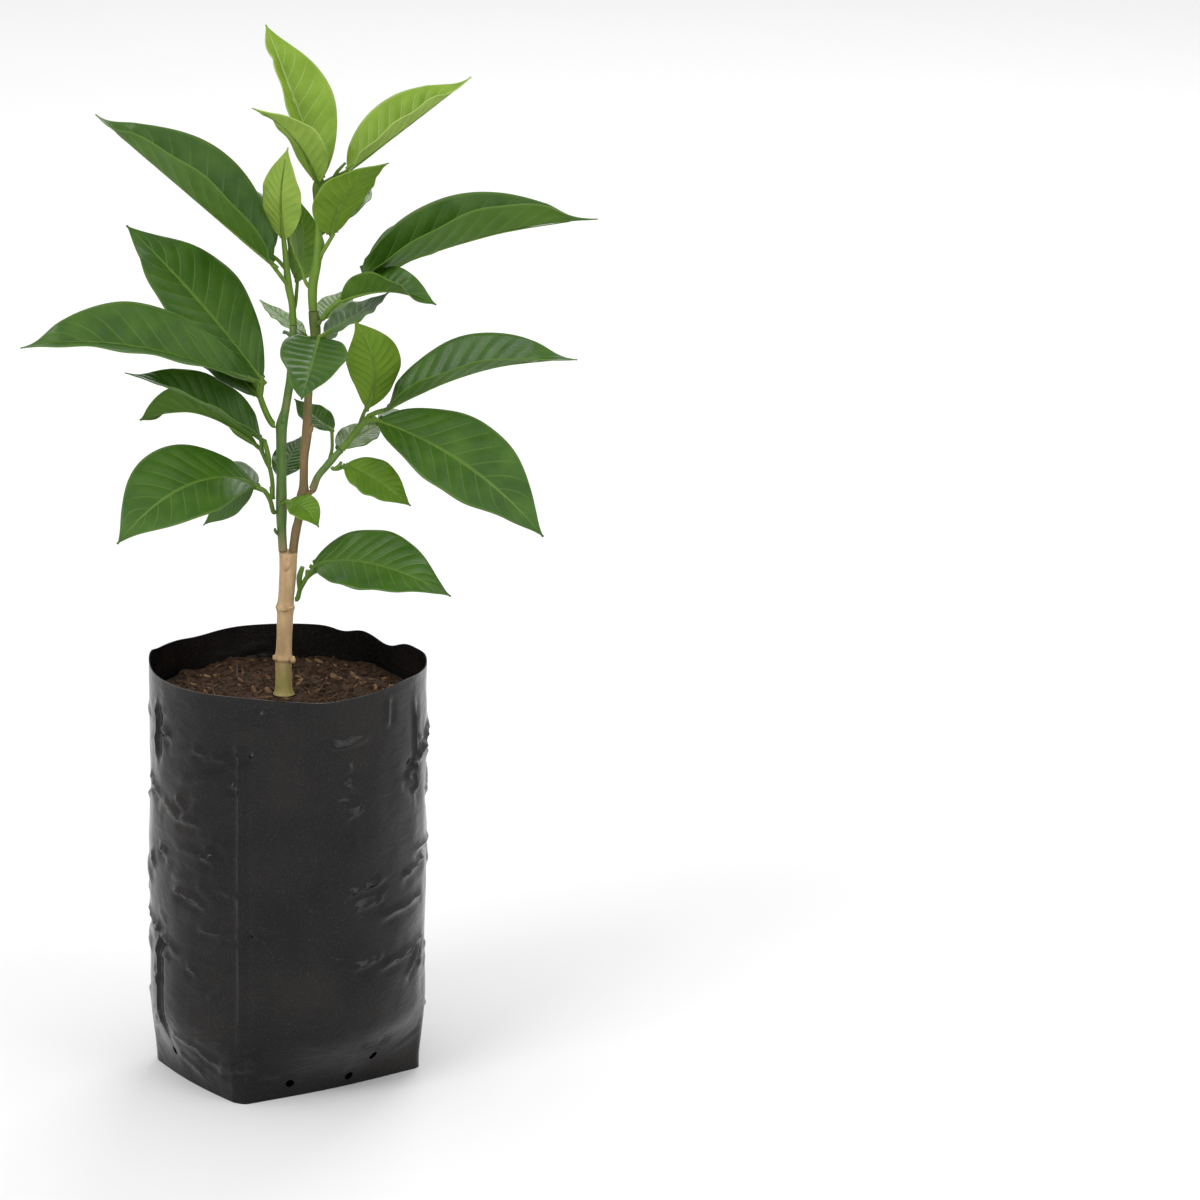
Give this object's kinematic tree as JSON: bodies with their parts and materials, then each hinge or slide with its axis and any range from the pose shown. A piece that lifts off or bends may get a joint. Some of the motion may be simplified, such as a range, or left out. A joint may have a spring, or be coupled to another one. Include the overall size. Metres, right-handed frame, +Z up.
{
  "type": "potted citrus tree",
  "caption": "Young orange tree with broad glossy leaves on a forked stem, standing in a round black film grow bag filled with potting mix.",
  "frame": {"origin": "centre of the bag's flat underside, on the floor", "axes": "+Z up along the trunk; +X to the plant's right as seen from its front, which faces -Y"},
  "size_m": [0.2591, 0.1458, 0.4895],
  "materials": {
    "black_film": "wrinkled glossy black polythene film",
    "potting_mix": "dark crumbly potting mix",
    "tan_bark": "matte tan bark with darker rings",
    "green_bark": "smooth green young bark",
    "brown_bark": "brown young bark turning green above",
    "leaf_green": "glossy dark green leaf, paler and matte below",
    "young_leaf_green": "bright yellow-green young leaf"
  },
  "bodies": {
    "root": {"grow_bag": "black_film", "potting_mix": "potting_mix", "trunk": "tan_bark", "left_stem": "green_bark", "right_stem": "brown_bark", "right_bough": "green_bark", "crown_leaves": "young_leaf_green", "left_top_leaves": "leaf_green", "upper_left_leaves": "leaf_green", "middle_left_leaves": "leaf_green", "lower_left_leaves": "leaf_green", "front_bud_leaf": "leaf_green", "low_back_leaf": "leaf_green", "right_leaves": "leaf_green", "inner_right_leaf": "leaf_green", "small_right_leaf": "leaf_green", "upper_right_leaves": "leaf_green", "front_leaves": "leaf_green", "behind_leaves": "leaf_green", "low_right_leaves": "leaf_green"}
  },
  "joints": []
}
